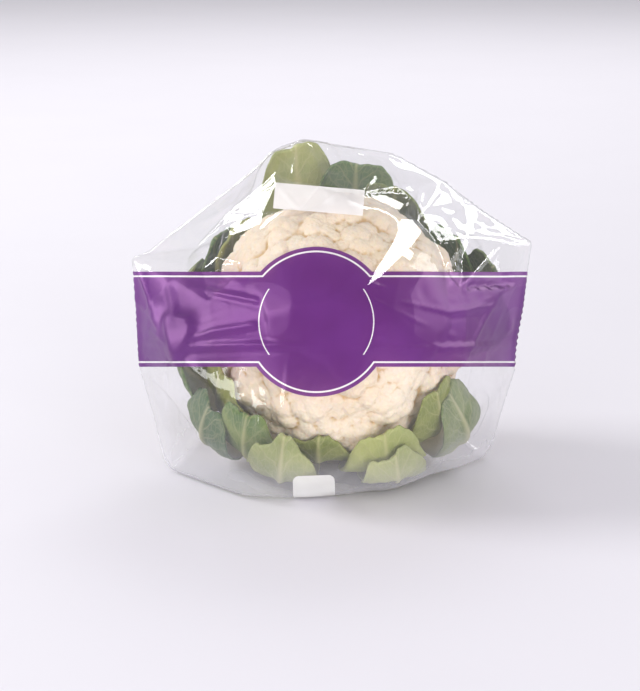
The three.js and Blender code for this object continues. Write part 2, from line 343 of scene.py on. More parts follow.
GOLDEN_ANGLE = math.pi * (3 - math.sqrt(5))
stalk_radius = STALK_DIAMETER / 2
tilt = math.radians(HEAD_TILT)
head_axes = np.array([
    [1, 0, 0],
    [0, math.sin(tilt), math.cos(tilt)],
    [0, -math.cos(tilt), math.sin(tilt)],
])
up_in_head = np.array([0, math.cos(tilt), math.sin(tilt)])


def mesh_points(piece):
    vertices = piece.data.vertices
    flat = np.empty(len(vertices) * 3, np.float32)
    vertices.foreach_get("co", flat)
    return flat.reshape(-1, 3).astype(float) / MM


def find_head_centre():
    """The stalk is round about the head's axis, and its top is a gap under the curd."""
    along = mesh_points(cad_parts["stalk"]) @ head_axes.T
    low, high = along.min(0), along.max(0)
    local = np.array([(low[0] + high[0]) / 2, (low[1] + high[1]) / 2, high[2] + GAP + CURD_UNDERSIDE])
    return local @ head_axes


head_centre = find_head_centre()
head_height = head_centre[2] - FILM
heart = np.array([0, 0, head_height])


def to_world(local):
    return head_centre + local @ head_axes


def lerp(low, high, share):
    return low + (high - low) * share


def smoothstep(low, high, value):
    share = np.clip((value - low) / (high - low), 0, 1)
    return share * share * (3 - 2 * share)


def chance(seed):
    """A repeatable number from 0 to 1 for each seed."""
    value = math.sin(seed * 12.9898) * 43758.5453
    return value - math.floor(value)


def vary(low, high, seed):
    return lerp(low, high, chance(seed))


def lengths(vectors):
    return np.linalg.norm(vectors, axis=-1)


def unit(vectors):
    return vectors / lengths(vectors)[..., None]


# Meshes
def make_piece(name, points, faces, smooth=True):
    mesh = bpy.data.meshes.new(name)
    mesh.from_pydata((points * MM).tolist(), [], faces)
    mesh.update()
    mesh.polygons.foreach_set("use_smooth", [smooth] * len(mesh.polygons))
    piece = bpy.data.objects.new(name, mesh)
    bpy.context.scene.collection.objects.link(piece)
    return piece


def add_value(piece, name, values):
    layer = piece.data.attributes.new(name, "FLOAT", "POINT")
    layer.data.foreach_set("value", np.asarray(values, np.float32))


def add_uv(piece, name, across, along):
    layer = piece.data.uv_layers.new(name=name)
    corner = np.empty(len(piece.data.loops), np.int32)
    piece.data.loops.foreach_get("vertex_index", corner)
    places = np.column_stack([across[corner], along[corner]])
    layer.data.foreach_set("uv", places.astype(np.float32).ravel())


def dress(piece, material, node):
    piece.data.materials.append(material)
    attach(piece, "root")
    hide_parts(node)


def sphere_net(subdivisions):
    """Directions spread evenly over a ball, with the triangles between them."""
    ball = bmesh.new()
    bmesh.ops.create_icosphere(ball, subdivisions=subdivisions, radius=1)
    ball.verts.index_update()
    directions = unit(np.array([vert.co for vert in ball.verts]))
    faces = [[vert.index for vert in face.verts] for face in ball.faces]
    ball.free()
    return directions, faces


def net_edges(faces):
    """Each edge of a closed net of triangles, and the two corners that face each other across it."""
    faces = np.array(faces)
    pairs = np.sort(np.vstack([faces[:, [0, 1]], faces[:, [1, 2]], faces[:, [2, 0]]]), axis=1)
    order = np.lexsort((pairs[:, 1], pairs[:, 0]))
    tips = np.concatenate([faces[:, 2], faces[:, 0], faces[:, 1]])[order]
    return pairs[order][::2], np.column_stack([tips[::2], tips[1::2]])


def smooth_over(values, pairs, rounds):
    """Values at the corners of a net, evened out with their neighbours again and again."""
    count = np.bincount(pairs.ravel(), minlength=len(values))
    for _ in range(rounds):
        total = (np.bincount(pairs[:, 0], values[pairs[:, 1]], len(values))
                 + np.bincount(pairs[:, 1], values[pairs[:, 0]], len(values)))
        values = 0.5 * values + 0.5 * total / count
    return values


# Curd
def core_radius(directions):
    wide = CURD_DIAMETER / 2 - FLORET_RISE
    tall = np.where(directions[..., 2] > 0, CURD_DOME - FLORET_RISE, CURD_UNDERSIDE)
    return 1 / np.hypot(lengths(directions[..., :2]) / wide, directions[..., 2] / tall)


def find_florets():
    centres = []
    radii = []
    for i in range(FLORET_COUNT):
        up = 1 - (i + 0.5) / FLORET_COUNT * FLORET_COVER
        turn = i * GOLDEN_ANGLE + (chance(i) - 0.5) * FLORET_SCATTER
        out = math.sqrt(1 - up * up)
        direction = np.array([out * math.cos(turn), out * math.sin(turn), up])
        rise = FLORET_RISE * vary(*RISE_SHARES, i + 0.5)
        radius = FLORET_RADIUS * vary(*RADIUS_SHARES, i + 0.25)
        centres.append(direction * (core_radius(direction) + rise - radius))
        radii.append(radius)
    return np.array(centres), np.array(radii)


floret_centres, floret_radii = find_florets()


def curd_radius(directions):
    along = directions @ floret_centres.T
    miss = (floret_centres ** 2).sum(1) - along ** 2
    inside = (along > 0) & (miss < floret_radii ** 2)
    hit = along + np.sqrt(np.where(inside, floret_radii ** 2 - miss, 0))
    return np.maximum(np.where(inside, hit, 0).max(1), core_radius(directions))


def lumps(points, size):
    """Domes of about that size, pressed against each other: 1 at the tops, about 0 in the deepest gaps."""
    near, next_near = np.array([noise.voronoi(Vector(point / size))[0][:2] for point in points]).T
    dome = 1 - (near / LUMP_RADIUS) ** 2
    edge = np.clip((next_near - near) * LUMP_STEEPNESS, 0, 1) ** 0.5
    return np.clip(lerp(edge, dome, LUMP_ROUNDNESS), 0, 1)


def build_curd(material):
    directions, faces = sphere_net(CURD_SUBDIVISIONS)
    pairs = net_edges(faces)[0]
    base = directions * curd_radius(directions)[:, None]
    flowering = smoothstep(*FLOWER_EDGE, directions[:, 2])
    curdlets = (lumps(base, CURDLET_SIZE) - CURDLET_LEVEL) * CURDLET_RELIEF
    buds = (lumps(base + BUD_SHIFT, BUD_SIZE) - BUD_LEVEL) * BUD_RELIEF
    reach = lengths(base) + (curdlets + buds) * flowering
    piece = make_piece("curd_florets", to_world(directions * reach[:, None] * HEAD_STRETCH), faces)
    # Painted shade: the curd is darkened where it sinks below its smoothed surface, on top of its own tan
    sunk = smooth_over(reach, pairs, GROOVE_ROUNDS) - reach
    add_value(piece, "groove_tan_and_shade", np.clip(sunk / GROOVE_DEPTH, 0, 1))
    dress(piece, material, "curd")
    return piece


# Stalk
def build_stalk(material):
    end = -CURD_UNDERSIDE - STALK_LENGTH
    top = -CURD_UNDERSIDE - GAP
    pinch, pinch_height = STALK_PINCH
    outline = [
        (stalk_radius * 0.5, end),
        (stalk_radius - STALK_CUT / 3, end),
        (stalk_radius - STALK_CUT / 8, end + STALK_CUT / 3),
        (stalk_radius, end + STALK_CUT),
        (stalk_radius * pinch, end + pinch_height),
        (stalk_radius, -CURD_UNDERSIDE - STALK_LENGTH * STALK_SHOULDER),
        (stalk_radius * STALK_WAIST, top),
    ]
    turns = np.arange(STALK_SIDES) / STALK_SIDES * 2 * math.pi
    uneven = 1 + sum(height * np.sin(count * turns + turn) for count, height, turn in STALK_WAVES)
    rings = [np.column_stack([radius * uneven * np.cos(turns), radius * uneven * np.sin(turns),
                              np.full(STALK_SIDES, height)]) for radius, height in outline]
    points = np.vstack([[[0, 0, end]], *rings, [[0, 0, top]]])
    last_ring = 1 + (len(rings) - 1) * STALK_SIDES
    faces = []
    for side in range(STALK_SIDES):
        after = (side + 1) % STALK_SIDES
        faces.append([0, 1 + after, 1 + side])
        for low in range(1, last_ring, STALK_SIDES):
            high = low + STALK_SIDES
            faces.append([low + side, low + after, high + after, high + side])
        faces.append([last_ring + side, last_ring + after, len(points) - 1])
    piece = make_piece("stalk_cut", to_world(points), faces)
    add_value(piece, "cut", (points[:, 2] < end + 0.5).astype(float))
    dress(piece, material, "stalk")
    return piece


# Leaves
def neighbour_limit(leaf):
    whorl, angle = leaf[:2]
    others = [other[1] for other in LEAVES if other is not leaf and other[0] == whorl]
    gaps = [abs((other - angle + 180) % 360 - 180) for other in others]
    return math.radians(min(gaps) * NEIGHBOUR_SHARE)


def bezier(points, share):
    rest = 1 - share
    a, b, c, d = points
    return a * rest ** 3 + 3 * b * rest ** 2 * share + 3 * c * rest * share ** 2 + d * share ** 3


def above_floor(points, clearance):
    height = head_height + points @ up_in_head
    lifted = clearance + FLOOR_SOFTNESS * np.logaddexp(0, (height - clearance) / FLOOR_SOFTNESS)
    return points + (lifted - height)[..., None] * up_in_head


def leaf_half_width(width, s):
    return lerp(ROOT_WIDTH, width, smoothstep(*WIDENING, s)) / 2


def wander(s, t, along, across, seed):
    """Values from -1 to 1 that change smoothly along and across a leaf."""
    places = [Vector((along * a + seed, across * b, seed * 0.37)) for a, b in zip(s, t)]
    return np.array([noise.noise(place) for place in places])


def leaf_middle(leaf, s, t):
    """The middle of the blade, s from root to tip and t from edge to edge, in the head's frame."""
    whorl, angle, reach, flare, width = leaf[:5]
    radius, root, floor = (WHORLS[whorl][key] for key in ("radius", "root", "floor"))
    limit = neighbour_limit(leaf)
    torn = (TIP_RAGGED * np.sin(RAGGED_WAVES * t + 6 * chance(angle))
            + TIP_NOTCHES * wander(t, 0 * t, *NOTCH_FOLDS, angle))
    along = s * (1 - (TIP_ROUNDING * t * t + TIP_CORNERS * t ** 8 + torn) * s)
    spine = (stalk_radius + ROOT_STANDOFF, radius * SPINE_BEND, radius + BELLY, radius + flare)
    spine_radius = bezier(spine, along)
    height = bezier((root, root - ROOT_DIP, -BELLY_DROP, reach), along)
    half_width = leaf_half_width(width, along) * (1 - TIP_TAPER * smoothstep(*TAPERING, s))
    spread = half_width / np.maximum(spine_radius, stalk_radius)
    uneven = 1 - EDGE_STRAY * s * (1 + wander(s, np.sign(t), *STRAY_FOLDS, angle + 0.3)) * np.abs(t)
    turn = math.radians(angle) + t * uneven * limit * np.tanh(spread / limit)
    wave = EDGE_WAVE * np.sin(EDGE_FOLDS[0] * s + EDGE_FOLDS[1] * t + 6 * chance(angle + 0.5))
    ruffle = RUFFLE * np.abs(t) ** 3 * s * wander(s, t, *RUFFLE_FOLDS, angle + 0.2)
    crumple = CRUMPLE * s * wander(s, t, *CRUMPLE_FOLDS, angle + 0.7)
    side = np.pi * SIDE_VEINS * (s - VEIN_SLANT * np.abs(t))
    swelling = smoothstep(*PUCKER_ACROSS, np.abs(t)) * smoothstep(*PUCKER_ALONG, s)
    pucker = PUCKER * np.abs(np.sin(side)) * swelling
    under_head = smoothstep(*UNDER_HEAD, math.sin(math.radians(angle)))
    curl = TIP_CURL * under_head * smoothstep(*CURLING, s)
    out = spine_radius + (wave - EDGE_CURL) * t * t * s + ruffle + crumple + pucker - curl
    points = np.stack([out * np.cos(turn), out * np.sin(turn), height], -1)
    return above_floor(points * HEAD_STRETCH, floor)


def leaf_outward(leaf, s, t):
    along = leaf_middle(leaf, s + LEAF_STEP, t) - leaf_middle(leaf, s - LEAF_STEP, t)
    across = leaf_middle(leaf, s, t + LEAF_STEP) - leaf_middle(leaf, s, t - LEAF_STEP)
    return unit(np.cross(across, along))


def leaf_rib(width, s, t):
    height = lerp(*RIB_HEIGHT, np.sqrt(s))
    spread = lerp(*RIB_WIDTH, np.sqrt(s))
    return height * np.exp(-((t * leaf_half_width(width, s) / spread) ** 2))


def clear_of_curd(points):
    round_points = points / HEAD_STRETCH
    distance = lengths(round_points)
    directions = round_points / distance[:, None]
    least = curd_radius(directions) + CURD_CLEARANCE
    return directions * np.maximum(distance, least)[:, None] * HEAD_STRETCH


def closed_blade(rows, columns):
    """The faces of two grids of points, outer then inner, joined along their rims."""
    shift = rows * columns
    faces = []
    for row in range(rows - 1):
        for column in range(columns - 1):
            a = row * columns + column
            b, c, d = a + 1, a + columns + 1, a + columns
            faces.append([a, b, c, d])
            faces.append([shift + a, shift + d, shift + c, shift + b])
    for row in range(rows - 1):
        left, right = row * columns, row * columns + columns - 1
        faces.append([left, left + columns, shift + left + columns, shift + left])
        faces.append([right, shift + right, shift + right + columns, right + columns])
    for column in range(columns - 1):
        tip = (rows - 1) * columns + column
        faces.append([column, shift + column, shift + column + 1, column + 1])
        faces.append([tip, tip + 1, shift + tip + 1, shift + tip])
    return faces


def build_leaf(number, leaf, material):
    whorl, width, paleness = leaf[0], leaf[4], leaf[5]
    s, t = np.meshgrid(np.linspace(0, 1, LEAF_ROWS), np.linspace(-1, 1, LEAF_COLUMNS), indexing="ij")
    s, t = s.ravel(), t.ravel()
    middle = leaf_middle(leaf, s, t)
    outward = leaf_outward(leaf, s, t)
    thin = 1 - EDGE_THINNING * np.abs(t) ** 6
    inner = clear_of_curd(middle - outward * (BLADE / 2 * thin)[:, None])
    outer = inner + outward * (BLADE * thin + leaf_rib(width, s, t))[:, None]
    node = f"leaf_{whorl}_{number:02d}"
    faces = closed_blade(LEAF_ROWS, LEAF_COLUMNS)
    piece = make_piece(node + "_blade", to_world(np.vstack([outer, inner])), faces)
    add_uv(piece, "blade", np.tile(t, 2) * 0.5 + 0.5, np.tile(s, 2))
    add_value(piece, "paleness", np.full(2 * len(s), paleness))
    dress(piece, material, node)
    return piece


# Camera
elevation = math.radians(ELEVATION)
picture_right = np.array([1, 0, 0])
picture_up = np.array([0, math.sin(elevation), math.cos(elevation)])
towards_camera = np.array([0, -math.cos(elevation), math.sin(elevation)])
focal_pixels = LENS / SENSOR * IMAGE[1]
camera_place = (head_centre + towards_camera * focal_pixels / PIXELS_PER_MM
                - picture_right * (CURD_PIXEL[0] - IMAGE[0] / 2) / PIXELS_PER_MM
                - picture_up * (IMAGE[1] / 2 - CURD_PIXEL[1]) / PIXELS_PER_MM)


def project(points):
    """Where points fall in the picture, in pixels across and down."""
    away = points - camera_place
    scale = focal_pixels / -(away @ towards_camera)
    across = IMAGE[0] / 2 + away @ picture_right * scale
    down = IMAGE[1] / 2 - away @ picture_up * scale
    return np.column_stack([across, down])


def place_camera():
    camera = bpy.data.cameras.new("camera")
    camera.lens = LENS
    camera.sensor_width = SENSOR
    body = bpy.data.objects.new("camera", camera)
    body.location = camera_place * MM
    body.rotation_euler = (math.pi / 2 - elevation, 0, 0)
    bpy.context.scene.collection.objects.link(body)
    bpy.context.scene.camera = body


# Film
def hull_planes(points):
    shape = bmesh.new()
    for point in points:
        shape.verts.new(point)
    made = bmesh.ops.convex_hull(shape, input=shape.verts)
    faces = [item for item in made["geom"] if isinstance(item, bmesh.types.BMFace)]
    normals = np.array([face.normal for face in faces])
    anchors = np.array([face.verts[0].co for face in faces])
    shape.free()
    return normals, (normals * anchors).sum(1)


def hull_radius(directions, normals, offsets):
    away = directions @ normals.T
    room = offsets - normals @ heart
    ahead = np.where(away > 1e-6, room / np.maximum(away, 1e-6), np.inf)
    return ahead.min(1)


def direction_cell(directions):
    row = np.arccos(np.clip(directions[:, 2], -1, 1)) / math.pi * GRID_ROWS
    column = (np.arctan2(directions[:, 1], directions[:, 0]) / (2 * math.pi) % 1) * 2 * GRID_ROWS
    return np.minimum(row.astype(int), GRID_ROWS - 1), column.astype(int) % (2 * GRID_ROWS)


def head_reach(points, directions):
    """How far the head reaches from the heart of the bag, in each of the directions."""
    away = points - heart
    distance = lengths(away)
    grid = np.zeros((GRID_ROWS, 2 * GRID_ROWS))
    np.maximum.at(grid, direction_cell(away / distance[:, None]), distance)
    for axis in (0, 1) * HEAD_SPREAD:
        grid = np.maximum(grid, np.maximum(np.roll(grid, 1, axis), np.roll(grid, -1, axis)))
    return grid[direction_cell(directions)]


def nearest_on_line(points, start, end):
    """How far along a line the place nearest to each point is, from 0 to 1, and its distance."""
    run = end - start
    share = np.clip((points - start) @ run / (run @ run), 0, 1)
    return share, lengths(points - start - share[:, None] * run)


def net_normals(points, faces):
    faces = np.array(faces)
    corners = points[faces]
    across = np.cross(corners[:, 1] - corners[:, 0], corners[:, 2] - corners[:, 0])
    normals = np.zeros_like(points)
    for corner in range(3):
        np.add.at(normals, faces[:, corner], across)
    return unit(normals)


def faces_camera(points, faces):
    return ((camera_place - points) * net_normals(points, faces)).sum(1) > 0


def find_facets():
    """The corners of the creases, then the flat places, and the triangles between all of them."""
    corners = {}
    edges = set()
    for crease in CREASES:
        for first, last in zip(crease[:-1], crease[1:]):
            edges.add((corners.setdefault(first, len(corners)), corners.setdefault(last, len(corners))))
    creased = len(corners)
    for across, down in FLAT_PLACES:
        corners.setdefault((across, down, 0), len(corners))
    places = np.array(list(corners), float)
    facets = delaunay_2d_cdt([Vector(place[:2]) for place in places], list(edges), [], 0, 0.01)[2]
    return places, facets, creased


def pressed_in(start, picture, seen):
    """The film's reach with its creases: flat facets between them, and slopes to the flat places."""
    places, facets, creased = find_facets()
    reach = lengths(start - heart)
    towards = unit(start - heart)
    shown = np.flatnonzero(seen)
    nearest = [shown[np.argmin(lengths(picture[shown] - place[:2]))] for place in places]
    pins = start[nearest] - towards[nearest] * places[:, 2:]
    pressed = reach.copy()
    for facet in facets:
        a, b, c = places[facet]
        sides = np.column_stack([b[:2] - a[:2], c[:2] - a[:2]])
        shares = (picture - a[:2]) @ np.linalg.inv(sides).T
        inside = (shares.min(1) >= 0) & (shares.sum(1) <= 1)
        pressed[inside] -= a[2] + shares[inside] @ (b[2] - a[2], c[2] - a[2])
        if max(facet) < creased:
            inside &= seen
            first, second, third = pins[facet]
            normal = np.cross(second - first, third - first)
            pressed[inside] = (first - heart) @ normal / (towards[inside] @ normal)
    return np.clip(pressed, reach - DEEPEST_CREASE, reach)


def standing_out(picture):
    """How far the wrinkles lift the film, at places in the picture."""
    lift = np.zeros(len(picture))
    for width, wrinkle in WRINKLES:
        for first, last in zip(np.array(wrinkle[:-1]), np.array(wrinkle[1:])):
            share, off = nearest_on_line(picture, first[:2], last[:2])
            lift = np.maximum(lift, lerp(first[2], last[2], share) * np.exp(-((off / width) ** 2)))
    return lift


def crease_film(start, faces):
    """The film's reach with the creases and wrinkles that the front view shows."""
    picture = project(start)
    seen = faces_camera(start, faces)
    return pressed_in(start, picture, seen) + np.where(seen, standing_out(picture), 0)


def held_points(points):
    """The points on the floor and along the ridges."""
    held = points[:, 2] < HELD_HEIGHT
    for ridge in RIDGES:
        path = np.array(ridge) + head_centre - FOLD_HEAD
        for first, last in zip(path[:-1], path[1:]):
            held |= nearest_on_line(points, first, last)[1] < RIDGE_REACH
    return held


def pull_to_length(points, ends, rest, give, stretch, squeeze):
    """Points moved so that the lines between their ends come nearer to their length at rest."""
    gap = points[ends[:, 1]] - points[ends[:, 0]]
    length = lengths(gap)
    share = np.where(length > rest, stretch, squeeze)
    move = gap * (share * (length - rest) / length * 0.5)[:, None]
    total = np.empty_like(points)
    for axis in range(3):
        total[:, axis] = (np.bincount(ends[:, 0], move[:, axis], len(points))
                          - np.bincount(ends[:, 1], move[:, axis], len(points)))
    return points + total * give[:, None]


def ripples(points):
    large, small = RIPPLE_SIZES
    return np.array([noise.noise(Vector(point / large)) + SMALL_RIPPLE * noise.noise(Vector(point / small))
                     for point in points])


def drape(start, faces, least):
    """Film hung between its held points: edges keep their length and buckle where they are too long."""
    pairs, across = net_edges(faces)
    free = (~held_points(start)).astype(float)
    give = FILM_GIVE * free / np.bincount(pairs.ravel(), minlength=len(start))
    reach = lengths(start - heart)
    most = reach + FILM_LIFT
    stand_off = smoothstep(0, STAND_OFF, reach - least)
    slack = 1 + lerp(*FILM_SLACK, stand_off)
    rest = lengths(start[pairs[:, 0]] - start[pairs[:, 1]]) * slack[pairs[:, 0]]
    rest_across = lengths(start[across[:, 0]] - start[across[:, 1]]) * slack[across[:, 0]]
    sag = (SAG + RIPPLE * ripples(start)) * free * stand_off
    points = start - unit(start - heart) * sag[:, None]
    speed = np.zeros_like(points)
    for _ in range(FILM_STEPS):
        inward = unit(heart - points)
        moved = points + FILM_DRIFT * speed + (FILM_PULL * free)[:, None] * inward
        for _ in range(FILM_ROUNDS):
            moved = pull_to_length(moved, pairs, rest, give, *EDGE_PULL)
            moved = pull_to_length(moved, across, rest_across, give, *ACROSS_PULL)
            away = moved - heart
            distance = lengths(away)
            moved = heart + away * (np.clip(distance, least, most) / distance)[:, None]
            moved[:, 2] = np.maximum(moved[:, 2], FILM_FLOOR)
        speed = moved - points
        points = moved
    return points


def even_out_foot(points, pairs):
    evened = np.column_stack([smooth_over(points[:, axis], pairs, FOOT_ROUNDS) for axis in range(3)])
    return lerp(points, evened, smoothstep(*FOOT, points[:, 2])[:, None])


def print_place(points):
    """Where places of the film are in the print, which the front view shows straight."""
    return (project(points) - CURD_PIXEL) * (1, -1) / PIXELS_PER_MM


def dress_film(piece, material, place, front, layers):
    """Film with its place in the print, where it is printed, and how far it lies in layers."""
    add_uv(piece, "print", place[:, 0], place[:, 1])
    add_value(piece, "front", front)
    add_value(piece, "layers", layers)
    dress(piece, material, "bag")


def build_film(head, material):
    directions, faces = sphere_net(FILM_SUBDIVISIONS)
    pairs = net_edges(faces)[0]
    head_points = np.vstack([mesh_points(piece) for piece in head])
    least = smooth_over(head_reach(head_points, directions), pairs, HEAD_ROUNDS) + FILM_CLEARANCE
    reach = hull_radius(directions, *hull_planes(mesh_points(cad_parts["bag"]))) - FILM_INSET
    least = np.minimum(least, reach)
    on_head = smoothstep(*ON_HEAD, reach - least)
    reach = lerp(reach, smooth_over(reach, pairs, ON_HEAD_ROUNDS), on_head)
    flat = heart + directions * reach[:, None]
    reach = np.maximum(crease_film(flat, faces), least)
    points = even_out_foot(drape(heart + directions * reach[:, None], faces, least), pairs)
    piece = make_piece("bag_film", points, faces)
    place = lerp(print_place(flat), print_place(points), PRINT_LEVEL)
    front = smoothstep(PRINT_END + PRINT_BLEND, PRINT_END - PRINT_BLEND, flat[:, 1])
    dress_film(piece, material, place, front, smoothstep(*GATHERED, points[:, 2]))
    return points, faces


def build_fold(film_points, film_faces, material):
    """A flat piece of film that lies a little off the bag."""
    shown = film_points[faces_camera(film_points, film_faces)]
    under = shown[np.argmin(lengths(project(shown) - FLAT_FOLD_MIDDLE))]
    normal = unit(np.array(FLAT_FOLD_FACING))
    middle = under + normal * FLAT_FOLD_LIFT
    outline = np.array(FLAT_FOLD, float)
    sight = (picture_right * (outline[:, :1] - IMAGE[0] / 2) + picture_up * (IMAGE[1] / 2 - outline[:, 1:])
             - towards_camera * focal_pixels)
    distance = (middle - camera_place) @ normal / (sight @ normal)
    points = camera_place + sight * distance[:, None]
    piece = make_piece("bag_fold", points, [list(range(len(points)))], smooth=False)
    nothing = np.zeros(len(points))
    dress_film(piece, material, print_place(points), nothing, nothing)


def build_layer(name, film_points, layer, material):
    """A sheet that lies on the back of the film."""
    across, height = np.meshgrid(np.linspace(-layer["half"], layer["half"], LAYER_COLUMNS),
                                 np.linspace(*layer["heights"], LAYER_ROWS))
    spots = np.column_stack([across.ravel(), height.ravel()])
    back = film_points[film_points[:, 1] > PRINT_END]
    depth = []
    for spot in spots:
        off = lengths(back[:, [0, 2]] - spot)
        near = np.argsort(off)[:LAYER_NEIGHBOURS]
        depth.append(np.average(back[near, 1], weights=1 / (off[near] + LAYER_EVENING)))
    points = np.column_stack([spots[:, 0], np.array(depth) + layer["lift"], spots[:, 1]])
    corners = np.arange(len(points)).reshape(LAYER_ROWS, LAYER_COLUMNS)
    faces = np.stack([corners[:-1, 1:], corners[:-1, :-1], corners[1:, :-1], corners[1:, 1:]], -1)
    piece = make_piece(name, points, faces.reshape(-1, 4).tolist())
    dress_film(piece, material, print_place(points), np.zeros(len(points)), np.ones(len(points)))


# Materials
def linear(code):
    """A hex code's colour in linear light, with its alpha."""
    parts = [int(code[i:i + 2], 16) / 255 for i in (0, 2, 4)]
    return [*(part / 12.92 if part < 0.04045 else ((part + 0.055) / 1.055) ** 2.4 for part in parts), 1]


class Shader:
    """A material whose nodes are added one by one."""

    def __init__(self, name):
        self.material = bpy.data.materials.new(name)
        self.material.use_nodes = True
        self.tree = self.material.node_tree
        self.tree.nodes.clear()
        self.output = self.tree.nodes.new("ShaderNodeOutputMaterial")

    def add(self, kind, inputs=None, **settings):
        node = self.tree.nodes.new("ShaderNode" + kind)
        for name, value in settings.items():
            setattr(node, name, value)
        for key, value in (inputs or {}).items():
            self.put(node.inputs[key], value)
        return node

    def put(self, socket, value):
        if isinstance(value, bpy.types.NodeSocket):
            self.tree.links.new(value, socket)
        else:
            socket.default_value = value

    def math(self, operation, *values):
        return self.add("Math", dict(enumerate(values)), operation=operation).outputs[0]

    def hypotenuse(self, first, second):
        squares = [self.math("MULTIPLY", side, side) for side in (first, second)]
        return self.math("SQRT", self.math("ADD", *squares))

    def vector(self, operation, *values):
        return self.add("VectorMath", dict(enumerate(values)), operation=operation).outputs[0]

    def attribute(self, name):
        return self.add("Attribute", attribute_name=name).outputs["Fac"]

    def place(self):
        return self.add("TexCoord").outputs["Object"]

    def uv(self, name):
        return self.add("UVMap", uv_map=name).outputs["UV"]

    def ramp(self, value, low, high):
        """From 0 at the low value to 1 at the high one."""
        inputs = {"Value": value, "From Min": low, "From Max": high}
        return self.add("MapRange", inputs, interpolation_type="SMOOTHSTEP").outputs["Result"]

    def fade(self, value, low, high):
        """From 1 at the low value to 0 at the high one."""
        return self.math("SUBTRACT", 1.0, self.ramp(value, low, high))

    def mix(self, share, first, second):
        """A colour between two colours."""
        return self.add("Mix", {"Factor": share, 6: first, 7: second}, data_type="RGBA").outputs[2]

    def blend(self, share, first, second):
        """A surface between two surfaces."""
        return self.add("MixShader", {0: share, 1: first.outputs[0], 2: second.outputs[0]})

    def noise(self, scale, detail):
        inputs = {"Vector": self.place(), "Scale": scale, "Detail": detail}
        return self.add("TexNoise", inputs).outputs["Fac"]

    def bump(self, height, strength, distance, invert=False):
        inputs = {"Height": height, "Strength": strength, "Distance": distance}
        return self.add("Bump", inputs, invert=invert).outputs["Normal"]

    def finish(self, surface):
        self.tree.links.new(surface.outputs[0], self.output.inputs["Surface"])
        return self.material


def curd_material():
    shader = Shader("curd")
    patches = shader.noise(24, 2)
    speckle = shader.noise(420, 2)
    cream = shader.mix(shader.ramp(patches, 0.35, 0.7), *map(linear, CURD_CREAM))
    # Painted shade in the grooves, mixed with the curd's own tan
    groove_tan_and_shade = shader.ramp(shader.attribute("groove_tan_and_shade"), 0.15, 0.9)
    shaded = shader.mix(groove_tan_and_shade, cream, linear(CURD_GROOVE_TAN_AND_SHADE))
    speckled = shader.math("MULTIPLY", shader.ramp(speckle, 0.5, 0.75), 0.25)
    grain = shader.add("TexVoronoi", {"Vector": shader.place(), "Scale": 520}).outputs["Distance"]
    return shader.finish(shader.add("BsdfPrincipled", {
        "Base Color": shader.mix(speckled, shaded, linear(CURD_SPECKLE)),
        "Roughness": shader.math("MULTIPLY_ADD", speckle, 0.25, 0.5),
        "Specular IOR Level": 0.3,
        "Subsurface Weight": 0.4,
        "Subsurface Radius": (0.006, 0.004, 0.002),
        "Subsurface Scale": 0.35,
        "Normal": shader.bump(grain, 0.6, 0.0007, invert=True),
    }))


def stalk_material():
    shader = Shader("stalk")
    fibres = shader.noise(160, 4)
    skin = shader.mix(shader.ramp(fibres, 0.35, 0.7), *map(linear, STALK_SKIN))
    face = shader.mix(shader.ramp(fibres, 0.3, 0.7), *map(linear, STALK_FACE))
    return shader.finish(shader.add("BsdfPrincipled", {
        "Base Color": shader.mix(shader.attribute("cut"), skin, face),
        "Roughness": shader.math("MULTIPLY_ADD", fibres, 0.2, 0.45),
        "Normal": shader.bump(fibres, 0.3, 0.001),
    }))


def side_veins(shader, along, across):
    """Veins that slant out from the rib, fading towards the leaf's edge."""
    slope = shader.math("MULTIPLY", across, VEIN_SLANT)
    phase = shader.math("MULTIPLY", shader.math("SUBTRACT", along, slope), SIDE_VEINS)
    wobble = shader.math("MULTIPLY", shader.noise(70, 2), 0.9)
    side = shader.math("PINGPONG", shader.math("ADD", phase, wobble), 0.5)
    return shader.math("MULTIPLY", shader.fade(side, 0.0, 0.11), shader.math("SUBTRACT", 1.0, across))


def leaf_material(name, blade, deep, pale):
    """A light and a deep green that flow into each other, with a pale rib and veins."""
    shader = Shader(name)
    uv = shader.uv("blade")
    place = shader.add("SeparateXYZ", {"Vector": uv})
    along = place.outputs["Y"]
    across = shader.math("ABSOLUTE", shader.math("MULTIPLY_ADD", place.outputs["X"], 2.0, -1.0))
    cloud = shader.noise(38, 4)
    drift = shader.math("SUBTRACT", cloud, 0.5)
    drift = shader.math("MULTIPLY_ADD", drift, 1.1, shader.attribute("paleness"))
    green = shader.mix(shader.ramp(drift, -0.15, 1.15), linear(deep), linear(blade))
    side_vein = side_veins(shader, along, across)
    cells = shader.add("TexVoronoi", {"Vector": uv, "Scale": 16}, feature="DISTANCE_TO_EDGE")
    net = shader.fade(cells.outputs["Distance"], 0.0, 0.12)
    rib = shader.fade(across, 0.0, shader.math("MULTIPLY_ADD", along, -0.34, 0.40))
    rib = shader.math("MULTIPLY", rib, shader.math("MULTIPLY_ADD", along, -0.45, 1.0))
    root = shader.fade(along, 0.3, 0.78)
    light = shader.math("MAXIMUM", rib, root)
    light = shader.math("MAXIMUM", light, shader.math("MULTIPLY", side_vein, 0.4))
    light = shader.math("MAXIMUM", light, shader.math("MULTIPLY", net, 0.16))
    color = shader.mix(shader.math("MULTIPLY", light, 0.88), green, linear(pale))
    height = shader.math("MULTIPLY", cloud, 0.5)
    height = shader.math("MULTIPLY_ADD", side_vein, 0.6, height)
    height = shader.math("MULTIPLY_ADD", net, 0.3, height)
    body = shader.add("BsdfPrincipled", {
        "Base Color": color,
        "Roughness": shader.math("MULTIPLY_ADD", cloud, 0.25, 0.38),
        "Specular IOR Level": 0.4,
        "Normal": shader.bump(height, 0.4, 0.001),
    })
    through = shader.add("BsdfTranslucent", {"Color": color})
    return shader.finish(shader.blend(LEAF_GLOW, body, through))


